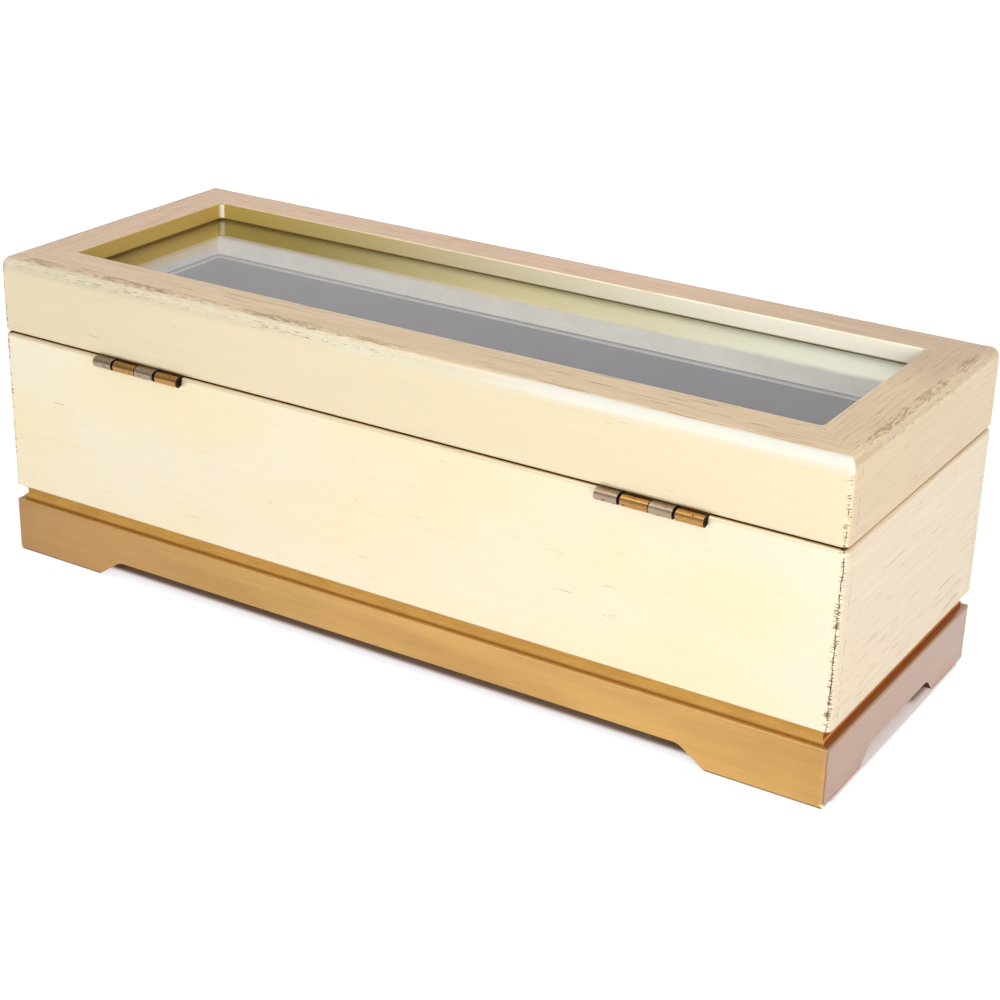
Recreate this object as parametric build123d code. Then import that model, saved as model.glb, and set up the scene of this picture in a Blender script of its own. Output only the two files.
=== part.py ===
from build123d import *

import os
from math import acos, degrees, sqrt

# Display box for cufflinks: a mitred wooden case on a moulded bracket-foot plinth, a hinged
# lid glazed with one loose pane, two butt hinges, and a lined insert of cushioned cells.
# Millimetres. X runs along the case, +Y is the hinge side, +Z is up, and the origin is on
# the ground under the middle of the case.

# ---------------------------------------------------------------- driving dimensions

CASE_LENGTH = 300.0
CASE_WIDTH = 110.0
CASE_HEIGHT = 105.0            # feet to lid top, with the lid closed
WALL = 6.0                     # side walls of the case and of the lid, which are flush
CORNER_RADIUS = 2.0            # upright corners of the case and lid

LID_HEIGHT = 25.75             # wooden part of the lid
LID_RAIL_WIDTH = 17.5          # the frame that shows round the glass
LID_LIP_THICKNESS = 5.6        # the part of the rail that reaches over the glass
LID_TOP_RADIUS = 4.0           # wider than the corners, so it dies into them
SIGHT_EDGE_BEVEL = 0.4
OPENING_CORNER_RADIUS = 1.4
SEAM_GAP = 0.5                 # between the wood of the lid and of the case
SEAM_EDGE_RADIUS = 1.3
BODY_FOOT_CHAMFER = 0.6

GLASS_THICKNESS = 2.5
GLASS_EDGE_GAP = 0.4           # between the pane's edge and the lid's walls
TAPE_THICKNESS = 0.5           # glazing tape between the lip and the pane
TAPE_WIDTH = 7.0
TAPE_SETBACK = 0.3             # from the sight edge

CASE_LINER_THICKNESS = 1.5     # suede-wrapped card on the walls
LID_LINER_THICKNESS = 0.8
LINER_GAP = 0.35               # between the liners' edges at the seam

BASE_BOARD_THICKNESS = 5.0
NECK_INSET = 2.9               # the base board's edge, behind the case's outer face
NECK_LIP_PROUD = 0.8           # the neck flares into a square lip at its foot
NECK_LIP_HEIGHT = 1.3
NECK_COVE_RADIUS = 0.7

PLINTH_HEIGHT = 18.8
PLINTH_THICKNESS = 14.0
PLINTH_CORNER_RADIUS = 1.2
PLINTH_EDGE_RADIUS = 0.6       # top and foot
LONG_ARCH_HEIGHT = 6.5         # clear height under the long rails between the feet
LONG_FOOT = 36.0               # corner to the start of the foot's sloping flank
LONG_FLANK = 9.4               # length of the flank, along the rail
END_ARCH_HEIGHT = 5.8          # the same for the end rails
END_FOOT = 26.4
END_FLANK = 5.8
FOOT_ROUND = 3.5               # convex round at the foot's toe
ARCH_ROUND = 5.0               # hollow round up into the arch
BLOCK_LEG = 14.0               # glue blocks inside the plinth's corners
BLOCK_LIFT = 3.0               # their lower end above the ground

BEARER_HEIGHT = 11.2           # strips that carry the insert's floor
BEARER_WIDTH = 12.0
BEARER_SETBACK = 12.0          # from the end and side liners
FLOOR_THICKNESS = 3.0
INSERT_FIT = 0.25              # slack between the insert and the liners, each side
CELL_COLUMNS = 6
CELL_ROWS = 2
DIVIDER_HEIGHT = 24.0
DIVIDER_THICKNESS = 3.0
DIVIDER_EDGE_BEVEL = 0.7
DIVIDER_SLOT_FIT = 0.1         # slack in the halving joints, each side
CUSHION_HEIGHT = 14.0
CUSHION_FIT = 0.5              # slack round a cushion
CUSHION_BEVEL = 2.0            # round the top
CUSHION_CORNER_BEVEL = 3.0     # on the upright corners

HINGE_FROM_END = 58.0          # middle of each hinge, from the case's end
BARREL_RADIUS = 1.75
BARREL_OFFSET = 1.2            # pin axis behind the case's back face
CASE_KNUCKLE = 8.6
LID_KNUCKLE = 7.3
WIDE_KNUCKLE_GAP = 1.0
CLOSE_KNUCKLE_GAP = 0.3
LEAF_THICKNESS = 0.8           # both leaves are let into the case, flat under the lid
LEAF_GAP = 0.1                 # between the closed leaves
LEAF_MARGIN = 0.8              # wood left between the leaf and the liner
HINGE_POCKET_FIT = 0.15        # slack round a leaf and the barrel
PIN_RADIUS = 0.9
PIN_CLEARANCE = 0.05           # running clearance in the lid's knuckles
PIN_SET_IN = 0.4               # pin end inside the barrel's end
SCREWS_PER_LEAF = 2
SCREW_SPACING = 20.0
SCREW_RADIUS = 0.9
SCREW_LENGTH = 8.0

# ---------------------------------------------------------------- derived levels

HALF_LENGTH = CASE_LENGTH / 2
HALF_WIDTH = CASE_WIDTH / 2

body_foot_z = PLINTH_HEIGHT + BASE_BOARD_THICKNESS
lid_foot_z = CASE_HEIGHT - LID_HEIGHT
body_top_z = lid_foot_z - SEAM_GAP
seam_z = lid_foot_z - SEAM_GAP / 2
lip_z = CASE_HEIGHT - LID_LIP_THICKNESS
glass_top_z = lip_z - TAPE_THICKNESS
glass_foot_z = glass_top_z - GLASS_THICKNESS

liner_face_x = HALF_LENGTH - WALL - CASE_LINER_THICKNESS
liner_face_y = HALF_WIDTH - WALL - CASE_LINER_THICKNESS
insert_half_length = liner_face_x - INSERT_FIT
insert_half_width = liner_face_y - INSERT_FIT
floor_z = body_foot_z + BEARER_HEIGHT
cell_floor_z = floor_z + FLOOR_THICKNESS
column_pitch = (2 * insert_half_length + DIVIDER_THICKNESS) / CELL_COLUMNS
row_pitch = (2 * insert_half_width + DIVIDER_THICKNESS) / CELL_ROWS

lid_leaf_z = lid_foot_z - LEAF_THICKNESS
case_leaf_z = lid_leaf_z - LEAF_GAP - LEAF_THICKNESS
pin_y = HALF_WIDTH + BARREL_OFFSET
pin_z = lid_foot_z - BARREL_RADIUS
leaf_inner_y = HALF_WIDTH - WALL + LEAF_MARGIN
leaf_outer_y = pin_y - BARREL_RADIUS - HINGE_POCKET_FIT
screw_y = (leaf_inner_y + leaf_outer_y) / 2
screw_head_radius = SCREW_RADIUS + LEAF_THICKNESS

KNUCKLES = (
    ("case", CASE_KNUCKLE, WIDE_KNUCKLE_GAP),
    ("lid", LID_KNUCKLE, CLOSE_KNUCKLE_GAP),
    ("case", CASE_KNUCKLE, WIDE_KNUCKLE_GAP),
    ("lid", LID_KNUCKLE, 0.0),
)
hinge_length = sum(length + gap for _, length, gap in KNUCKLES)
HINGES = {
    "hinge_left": -(HALF_LENGTH - HINGE_FROM_END),
    "hinge_right": HALF_LENGTH - HINGE_FROM_END,
}


FOOT, TOP = 0, -1              # which end of a shape, from its lowest face to its highest


def save(name, shape):
    export_step(shape, f"parts/{name}.step")


# ---------------------------------------------------------------- mitred frames

def slab(half_x, half_y, low_z, high_z, corner=0.0):
    """A flat block centred on the Z axis, with rounded upright corners if asked."""
    if corner > 0:
        outline = RectangleRounded(2 * half_x, 2 * half_y, corner)
    else:
        outline = Rectangle(2 * half_x, 2 * half_y)
    return Pos(0, 0, low_z) * extrude(outline, high_z - low_z)


def ring(half_x, half_y, thickness, low_z, high_z, corner=0.0):
    """A rectangular frame with a plain section."""
    outer = slab(half_x, half_y, low_z, high_z, corner)
    return outer - slab(half_x - thickness, half_y - thickness, low_z, high_z)


def level_face(shape, end):
    """The flat face at a shape's foot (end FOOT) or top (end TOP)."""
    return shape.faces().filter_by(Axis.Z).sort_by(Axis.Z)[end]


def outer_edges(shape, end):
    """The outer outline of a shape's foot or top."""
    return level_face(shape, end).outer_wire().edges()


def mitred_sides(frame, half_x, half_y):
    """Cut a rectangular frame along its corner mitres into its four named sides."""
    far_x, far_y = half_x + half_y, 2 * half_y
    heart = half_x - half_y
    outlines = {
        "front": [(-far_x, -far_y), (far_x, -far_y), (heart, 0), (-heart, 0)],
        "back": [(far_x, far_y), (-far_x, far_y), (-heart, 0), (heart, 0)],
        "left": [(-far_x, far_y), (-far_x, -far_y), (-heart, 0)],
        "right": [(far_x, -far_y), (far_x, far_y), (heart, 0)],
    }
    box = frame.bounding_box()
    depth = box.max.Z - box.min.Z
    sides = {}
    for name, points in outlines.items():
        outline = make_face(Polyline(*points, close=True))
        sides[name] = frame & (Pos(0, 0, box.min.Z) * extrude(outline, depth))
    return sides


# ---------------------------------------------------------------- hinges

def along_x(sketch, start_x, length):
    """Extrude a section drawn as (y, z) from start_x along +X."""
    plane = Plane(origin=(start_x, 0, 0), x_dir=(0, 1, 0), z_dir=(1, 0, 0))
    return extrude(plane * sketch, length)


def knuckle_spans(middle_x, owner):
    """Start and length of each knuckle that belongs to one leaf."""
    spans = []
    start_x = middle_x - hinge_length / 2
    for name, length, gap in KNUCKLES:
        if name == owner:
            spans.append((start_x, length))
        start_x += length + gap
    return spans


def leaf(middle_x, owner, low_z, bore_radius):
    """One leaf: a flat plate let into the wood, with its knuckles rolled round the pin."""
    plate_middle_y = (leaf_inner_y + leaf_outer_y) / 2
    middle_z = low_z + LEAF_THICKNESS / 2
    shape = Pos(middle_x, plate_middle_y, middle_z) * Box(
        hinge_length, leaf_outer_y - leaf_inner_y, LEAF_THICKNESS
    )
    tongue_width = pin_y - leaf_outer_y
    tongue = Pos(leaf_outer_y + tongue_width / 2, middle_z) * Rectangle(
        tongue_width, LEAF_THICKNESS
    )
    curl = tongue + Pos(pin_y, pin_z) * Circle(BARREL_RADIUS)
    section = curl - Pos(pin_y, pin_z) * Circle(bore_radius)
    for start_x, length in knuckle_spans(middle_x, owner):
        shape += along_x(section, start_x, length)
    return shape


def screw_places(middle_x):
    first = -(SCREWS_PER_LEAF - 1) / 2
    return [middle_x + (first + n) * SCREW_SPACING for n in range(SCREWS_PER_LEAF)]


def screw():
    """A countersunk wood screw, head up at the origin."""
    section = Polyline(
        (0, 0),
        (screw_head_radius, 0),
        (SCREW_RADIUS, -LEAF_THICKNESS),
        (SCREW_RADIUS, -SCREW_LENGTH),
        (0, -SCREW_LENGTH),
        close=True,
    )
    return revolve(Plane.XZ * make_face(section), Axis.Z)


def screws(middle_x, owner):
    """The screws of one leaf as a list of solids, heads flush with the leaf."""
    if owner == "lid":
        seat_z, turn = lid_leaf_z, 180
    else:
        seat_z, turn = case_leaf_z + LEAF_THICKNESS, 0
    return [Pos(x, screw_y, seat_z) * Rot(turn, 0, 0) * screw() for x in screw_places(middle_x)]


def pin(middle_x):
    start_x = middle_x - hinge_length / 2 + PIN_SET_IN
    return along_x(Pos(pin_y, pin_z) * Circle(PIN_RADIUS), start_x, hinge_length - 2 * PIN_SET_IN)


def hinge_recess(middle_x):
    """What a hinge takes from the case's back: a pocket for the leaves and a barrel hollow."""
    length = hinge_length + 2 * HINGE_POCKET_FIT
    inner_y = leaf_inner_y - HINGE_POCKET_FIT
    width = pin_y - inner_y
    pocket = Pos(middle_x, inner_y + width / 2, (case_leaf_z + lid_foot_z) / 2) * Box(
        length, width, lid_foot_z - case_leaf_z
    )
    hollow = along_x(
        Pos(pin_y, pin_z) * Circle(BARREL_RADIUS + HINGE_POCKET_FIT),
        middle_x - length / 2,
        length,
    )
    return [pocket, hollow]


def cut_hinges(panel, owner):
    """Cut the screw holes, and in the case the recesses too."""
    for middle_x in HINGES.values():
        tools = screws(middle_x, owner)
        if owner == "case":
            tools += hinge_recess(middle_x)
        for tool in tools:
            panel -= tool
    return panel


def make_hinges():
    """Two butt hinges; the screws of all the leaves on one body share a node."""
    bores = {"case": PIN_RADIUS, "lid": PIN_RADIUS + PIN_CLEARANCE}
    levels = {"case": case_leaf_z, "lid": lid_leaf_z}
    fixings = {"case": [], "lid": []}
    for name, middle_x in HINGES.items():
        for owner, bore in bores.items():
            shape = leaf(middle_x, owner, levels[owner], bore)
            for body in screws(middle_x, owner):
                shape -= body
                fixings[owner].append(body.solid())
            save(f"{name}_{owner}_leaf", shape)
        save(f"{name}_pin", pin(middle_x))
    for owner, bodies in fixings.items():
        save(f"hinge_{owner}_screws", Compound(children=bodies))


# ---------------------------------------------------------------- case

def make_case():
    """Four mitred walls, eased at the seam and chamfered above the neck."""
    walls = slab(HALF_LENGTH, HALF_WIDTH, body_foot_z, body_top_z, CORNER_RADIUS)
    walls = fillet(outer_edges(walls, TOP), SEAM_EDGE_RADIUS)
    walls = chamfer(outer_edges(walls, FOOT), BODY_FOOT_CHAMFER)
    walls -= slab(HALF_LENGTH - WALL, HALF_WIDTH - WALL, body_foot_z, body_top_z)
    for name, side in mitred_sides(walls, HALF_LENGTH, HALF_WIDTH).items():
        if name == "back":
            side = cut_hinges(side, "case")
        save(f"case_{name}", side)


def make_base_board():
    """The board under the case, whose edge is the neck, coved into a lip at its foot."""
    half_x, half_y = HALF_LENGTH - NECK_INSET, HALF_WIDTH - NECK_INSET
    lip_x, lip_y = half_x + NECK_LIP_PROUD, half_y + NECK_LIP_PROUD
    lip_top_z = PLINTH_HEIGHT + NECK_LIP_HEIGHT
    board = slab(half_x, half_y, PLINTH_HEIGHT, body_foot_z)
    board += slab(lip_x, lip_y, PLINTH_HEIGHT, lip_top_z)
    ledge = board.faces().filter_by(Axis.Z).sort_by(Axis.Z)[1]
    board = fillet(ledge.inner_wires()[0].edges(), NECK_COVE_RADIUS)
    save("base_board", board)


# ---------------------------------------------------------------- plinth

def arch_outline(half_span, foot, flank, height):
    """The space between two feet: toes eased, flanks sloped, and a hollow up into the arch."""
    toe = half_span - foot
    crown = toe - flank
    corners = [
        (toe + height, -height),
        (toe + height, 0),
        (toe, 0),
        (crown, height),
        (-crown, height),
        (-toe, 0),
        (-toe - height, 0),
        (-toe - height, -height),
    ]
    face = make_face(Polyline(*corners, close=True))
    inside = [v for v in face.vertices() if abs(v.X) < toe + height / 2]
    face = fillet([v for v in inside if v.Y < height / 2], FOOT_ROUND)
    crowns = face.vertices().group_by(Axis.Y)[-1]
    return fillet(crowns, ARCH_ROUND)


def make_plinth():
    """Four mitred rails with bracket feet, and glue blocks inside the corners."""
    frame = slab(HALF_LENGTH, HALF_WIDTH, 0, PLINTH_HEIGHT)
    for end in (TOP, FOOT):
        frame = fillet(outer_edges(frame, end), PLINTH_EDGE_RADIUS)
    frame = frame & slab(HALF_LENGTH, HALF_WIDTH, 0, PLINTH_HEIGHT, PLINTH_CORNER_RADIUS)
    inner_x, inner_y = HALF_LENGTH - PLINTH_THICKNESS, HALF_WIDTH - PLINTH_THICKNESS
    frame -= slab(inner_x, inner_y, 0, PLINTH_HEIGHT)
    long_outline = arch_outline(HALF_LENGTH, LONG_FOOT, LONG_FLANK, LONG_ARCH_HEIGHT)
    end_outline = arch_outline(HALF_WIDTH, END_FOOT, END_FLANK, END_ARCH_HEIGHT)
    long_arch = extrude(Plane.XZ * long_outline, CASE_WIDTH, both=True)
    end_arch = extrude(Plane.YZ * end_outline, CASE_LENGTH, both=True)
    for name, side in mitred_sides(frame, HALF_LENGTH, HALF_WIDTH).items():
        side -= long_arch if name in ("front", "back") else end_arch
        save(f"plinth_{name}", side)

    blocks = []
    for sx in (-1, 1):
        for sy in (-1, 1):
            x, y = sx * inner_x, sy * inner_y
            outline = Polyline((x, y), (x - sx * BLOCK_LEG, y), (x, y - sy * BLOCK_LEG), close=True)
            block = extrude(make_face(outline), PLINTH_HEIGHT - BLOCK_LIFT, dir=(0, 0, 1))
            blocks.append((Pos(0, 0, BLOCK_LIFT) * block).solid())
    save("plinth_glue_blocks", Compound(children=blocks))


# ---------------------------------------------------------------- lid

def corner_post():
    """An upright quarter-round at the lid's corner, turned about its own axis at the origin.

    The top round is wider than the corner, so its centre lies beyond the axis.
    """
    beyond = LID_TOP_RADIUS - CORNER_RADIUS
    round_z = CASE_HEIGHT - LID_TOP_RADIUS
    apex_z = round_z + sqrt(LID_TOP_RADIUS**2 - beyond**2)
    foot_x, foot_z = CORNER_RADIUS - SEAM_EDGE_RADIUS, lid_foot_z + SEAM_EDGE_RADIUS
    sweep = degrees(acos(beyond / LID_TOP_RADIUS))
    outline = [
        Line((0, apex_z), (0, lid_foot_z)),
        Line((0, lid_foot_z), (foot_x, lid_foot_z)),
        CenterArc((foot_x, foot_z), SEAM_EDGE_RADIUS, -90, 90),
        Line((CORNER_RADIUS, foot_z), (CORNER_RADIUS, round_z)),
        CenterArc((-beyond, round_z), LID_TOP_RADIUS, 0, sweep),
    ]
    return revolve(Plane.XZ * make_face(outline), Axis.Z, 90)


def lid_block():
    """The lid before it is hollowed: rounded arrises, and rounded uprights at the corners."""
    block = slab(HALF_LENGTH, HALF_WIDTH, lid_foot_z, CASE_HEIGHT)
    block = fillet(outer_edges(block, TOP), LID_TOP_RADIUS)
    block = fillet(outer_edges(block, FOOT), SEAM_EDGE_RADIUS)
    axis_x, axis_y = HALF_LENGTH - CORNER_RADIUS, HALF_WIDTH - CORNER_RADIUS
    middle_z = (lid_foot_z + CASE_HEIGHT) / 2
    for turn, sx, sy in ((0, 1, 1), (90, -1, 1), (180, -1, -1), (270, 1, -1)):
        place = Pos(sx * (axis_x + CORNER_RADIUS / 2), sy * (axis_y + CORNER_RADIUS / 2), middle_z)
        block -= place * Box(CORNER_RADIUS, CORNER_RADIUS, LID_HEIGHT)
        block += Pos(sx * axis_x, sy * axis_y, 0) * Rot(0, 0, turn) * corner_post()
    return block


def make_lid():
    """Four mitred rails with rounded top arrises, and a pane bedded on tape under their lip."""
    frame = lid_block()
    opening_x, opening_y = HALF_LENGTH - LID_RAIL_WIDTH, HALF_WIDTH - LID_RAIL_WIDTH
    frame -= slab(opening_x, opening_y, lid_foot_z, CASE_HEIGHT, OPENING_CORNER_RADIUS)
    sight_edges = level_face(frame, TOP).inner_wires()[0].edges()
    frame = chamfer(sight_edges, SIGHT_EDGE_BEVEL)
    frame -= slab(HALF_LENGTH - WALL, HALF_WIDTH - WALL, lid_foot_z, lip_z)
    for name, side in mitred_sides(frame, HALF_LENGTH, HALF_WIDTH).items():
        if name == "back":
            side = cut_hinges(side, "lid")
        save(f"lid_{name}", side)

    pane_x, pane_y = HALF_LENGTH - WALL - GLASS_EDGE_GAP, HALF_WIDTH - WALL - GLASS_EDGE_GAP
    save("lid_glass", slab(pane_x, pane_y, glass_foot_z, glass_top_z))
    tape_x = opening_x + TAPE_SETBACK + TAPE_WIDTH
    tape_y = opening_y + TAPE_SETBACK + TAPE_WIDTH
    save("lid_glazing_tape", ring(tape_x, tape_y, TAPE_WIDTH, glass_top_z, lip_z))


def make_liners():
    """Thin lined boards round the case and the lid; the case's stand out as a small ledge."""
    half_x, half_y = HALF_LENGTH - WALL, HALF_WIDTH - WALL
    liners = {
        "case": (CASE_LINER_THICKNESS, body_foot_z, seam_z),
        "lid": (LID_LINER_THICKNESS, seam_z + LINER_GAP, glass_foot_z),
    }
    for owner, (thickness, low_z, high_z) in liners.items():
        frame = ring(half_x, half_y, thickness, low_z, high_z)
        for name, side in mitred_sides(frame, half_x, half_y).items():
            save(f"{owner}_liner_{name}", side)


# ---------------------------------------------------------------- insert

def lattice(count, pitch):
    """Centres of a row of equal cells."""
    return [(n - (count - 1) / 2) * pitch for n in range(count)]


def divider_stations(count, pitch):
    """Places of the dividers between a row of cells."""
    return [(n - (count - 2) / 2) * pitch for n in range(count - 1)]


def divider(half_run, slot_places, slots_down):
    """An upright board along X with halving slots cut from its foot or from its top."""
    board = Pos(0, 0, cell_floor_z + DIVIDER_HEIGHT / 2) * Box(
        2 * half_run, DIVIDER_THICKNESS, DIVIDER_HEIGHT
    )
    top_edges = board.edges().filter_by(Axis.X).group_by(Axis.Z)[-1]
    board = chamfer(top_edges, DIVIDER_EDGE_BEVEL)
    middle_z = cell_floor_z + DIVIDER_HEIGHT / 2
    shift = -DIVIDER_HEIGHT / 2 if slots_down else DIVIDER_HEIGHT / 2
    slot_width = DIVIDER_THICKNESS + 2 * DIVIDER_SLOT_FIT
    slot_height = DIVIDER_HEIGHT + 2 * DIVIDER_SLOT_FIT
    for place in slot_places:
        board -= Pos(place, 0, middle_z + shift) * Box(
            slot_width, 2 * DIVIDER_THICKNESS, slot_height
        )
    return board


def make_insert():
    """A raised floor carrying a lattice of dividers and one cushion in each cell."""
    bearer_half = liner_face_x - BEARER_SETBACK
    bearer_y = liner_face_y - BEARER_SETBACK - BEARER_WIDTH / 2
    for name, side in (("front", -1), ("back", 1)):
        bearer = Pos(0, side * bearer_y, body_foot_z + BEARER_HEIGHT / 2) * Box(
            2 * bearer_half, BEARER_WIDTH, BEARER_HEIGHT
        )
        save(f"bearer_{name}", bearer)
    save("insert_floor", slab(insert_half_length, insert_half_width, floor_z, cell_floor_z))

    cross_places = divider_stations(CELL_COLUMNS, column_pitch)
    long_places = divider_stations(CELL_ROWS, row_pitch)
    for n, y in enumerate(long_places, start=1):
        board = divider(insert_half_length, cross_places, slots_down=False)
        save(f"long_divider_{n}", Pos(0, y, 0) * board)
    for n, x in enumerate(cross_places, start=1):
        board = divider(insert_half_width, long_places, slots_down=True)
        save(f"cross_divider_{n}", Pos(x, 0, 0) * Rot(0, 0, 90) * board)

    half_x = (column_pitch - DIVIDER_THICKNESS) / 2 - CUSHION_FIT
    half_y = (row_pitch - DIVIDER_THICKNESS) / 2 - CUSHION_FIT
    top_z = cell_floor_z + CUSHION_HEIGHT
    cushion = slab(half_x, half_y, cell_floor_z, top_z)
    cushion = chamfer(cushion.edges().filter_by(Axis.Z), CUSHION_CORNER_BEVEL)
    cushion = chamfer(outer_edges(cushion, TOP), CUSHION_BEVEL)
    for row, y in enumerate(lattice(CELL_ROWS, row_pitch), start=1):
        for column, x in enumerate(lattice(CELL_COLUMNS, column_pitch), start=1):
            save(f"cushion_{row}_{column}", Pos(x, y, 0) * cushion)


os.makedirs("parts", exist_ok=True)
make_plinth()
make_base_board()
make_case()
make_lid()
make_liners()
make_insert()
make_hinges()
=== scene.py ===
from math import cos, pi, radians, sin

import bpy
from mathutils import Matrix, Vector, noise
from mathutils.bvhtree import BVHTree


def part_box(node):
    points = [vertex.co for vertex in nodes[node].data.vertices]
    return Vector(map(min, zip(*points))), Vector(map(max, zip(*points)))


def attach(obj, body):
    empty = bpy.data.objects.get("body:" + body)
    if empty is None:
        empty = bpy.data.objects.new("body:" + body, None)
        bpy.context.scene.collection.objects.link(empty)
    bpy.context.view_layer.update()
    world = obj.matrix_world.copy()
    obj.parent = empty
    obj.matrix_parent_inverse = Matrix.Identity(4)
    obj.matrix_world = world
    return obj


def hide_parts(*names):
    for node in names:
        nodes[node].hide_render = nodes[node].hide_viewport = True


# Display box for cufflinks: leafed and distressed wood, an ochre plinth, a glazed lid and a
# lined insert of velvet cushions. Metres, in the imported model's frame; the materials work in
# millimetres, which MM turns metres into.

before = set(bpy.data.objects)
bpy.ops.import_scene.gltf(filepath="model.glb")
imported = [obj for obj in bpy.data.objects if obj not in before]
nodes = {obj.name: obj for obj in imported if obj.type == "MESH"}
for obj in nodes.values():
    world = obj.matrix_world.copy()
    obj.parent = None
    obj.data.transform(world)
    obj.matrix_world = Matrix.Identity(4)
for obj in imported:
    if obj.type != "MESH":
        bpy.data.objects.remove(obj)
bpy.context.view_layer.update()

MM = 1000.0

# ---------------------------------------------------------------- places, in millimetres

half_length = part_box("case_left")[0].x * -MM
half_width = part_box("case_front")[0].y * -MM
lid_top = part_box("lid_back")[1].z * MM
lid_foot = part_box("lid_back")[0].z * MM
body_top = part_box("case_front")[1].z * MM
body_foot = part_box("case_front")[0].z * MM
seam = (lid_foot + body_top) / 2
plinth_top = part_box("plinth_back")[1].z * MM
plinth_depth = (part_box("plinth_back")[1].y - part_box("plinth_back")[0].y) * MM
lip_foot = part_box("lid_glazing_tape")[1].z * MM
liner_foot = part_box("lid_liner_back")[0].z * MM
liner_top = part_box("case_liner_back")[1].z * MM
plinth_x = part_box("plinth_back")[1].x * MM
plinth_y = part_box("plinth_back")[1].y * MM

RAIL_WIDTH = 17.5                   # of the lid's rails, seen from above

# ---------------------------------------------------------------- camera

VIEW_AZIMUTH = 211.21
VIEW_ELEVATION = 23.57
VIEW_ROLL = 1.64
VIEW_DISTANCE = 0.67
VIEW_AIM = Vector((-0.0101, 0.0007, 0.0391))
LENS, SENSOR = 74.97, 36.0

# ---------------------------------------------------------------- colours


def shade(red, green, blue):
    """A colour written as it looks on screen, 0 to 255, as linear light."""
    values = []
    for part in (red, green, blue):
        part /= 255.0
        values.append(part / 12.92 if part <= 0.04045 else ((part + 0.055) / 1.055) ** 2.4)
    return (*values, 1.0)


WHITE = (1.0, 1.0, 1.0, 1.0)
# The champagne tones are one leaf, with painted light and shade in each face's tone.
CHAMPAGNE_SIDE = shade(250, 239, 211)
CHAMPAGNE_WARM = shade(251, 238, 198)
CHAMPAGNE_END = shade(237, 220, 188)
CHAMPAGNE_LID = shade(241, 227, 190)
CHAMPAGNE_LID_END = shade(226, 202, 163)
CHAMPAGNE_TOP = shade(246, 208, 174)
CHAMPAGNE_TOP_WARM = shade(249, 219, 178)
CHAMPAGNE_DUSK = shade(214, 180, 150)
ROUND_HIGHLIGHT = shade(255, 252, 241)
PALE_WEAR_AND_HIGHLIGHT = shade(255, 248, 224)
STREAK_BROWN = shade(168, 128, 88)
LEAF_GOLD = shade(226, 188, 98)
LEAF_OLIVE = shade(190, 164, 84)
LEAF_PALE = shade(255, 250, 230)
UNDERCOAT = shade(62, 40, 22)
WHISKER_BROWN = shade(140, 104, 66)
FLECK_BROWN = shade(146, 108, 58)
SEAM_STAIN_AND_SHADE = shade(84, 58, 18)
OCHRE = shade(214, 168, 88)
OCHRE_DEEP = shade(203, 156, 77)
OCHRE_END = shade(165, 116, 73)
ARRIS_HIGHLIGHT = shade(236, 196, 132)
SHADE_BROWN = shade(158, 106, 44)
NECK_RUSSET = shade(164, 66, 12)
FOOT_BROWN = shade(84, 54, 34)
ARCH_SHADE_BROWN = shade(92, 60, 42)
BARE_WOOD = shade(186, 150, 108)
BARE_WOOD_DARK = shade(160, 120, 80)
WOOD_PORE = shade(120, 84, 52)
LIMEWOOD_GLINT = shade(248, 238, 206)
SUEDE = shade(126, 112, 125)
LID_SUEDE = shade(212, 199, 188)
BAND_OLIVE = shade(156, 134, 66)
BAND_LEAF = shade(240, 222, 168)
BAND_PALE = shade(255, 250, 232)
LINER_EDGE = shade(254, 248, 244)
LINER_SHADE = shade(92, 84, 84)
VELVET = shade(84, 76, 88)
VELVET_WELT = shade(104, 95, 108)
BRASS_AGED = shade(170, 150, 128)
BRASS_DARK = shade(72, 56, 42)
COPPER_AGED = shade(178, 134, 78)
STEEL_DARK = shade(70, 66, 62)
KNUCKLE_END = shade(38, 26, 20)
TAPE_AND_SHADE_BROWN = shade(136, 106, 50)
TAPE_DARK = shade(104, 80, 36)
FLOOR_WHITE = shade(236, 233, 238)
FLOOR_SHADE = shade(218, 186, 158)
FLOOR_LILAC = shade(255, 238, 234)

# ---------------------------------------------------------------- node trees

NOISE_SPAN = (0.3, 0.7)             # a noise's values mostly lie in it


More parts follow.
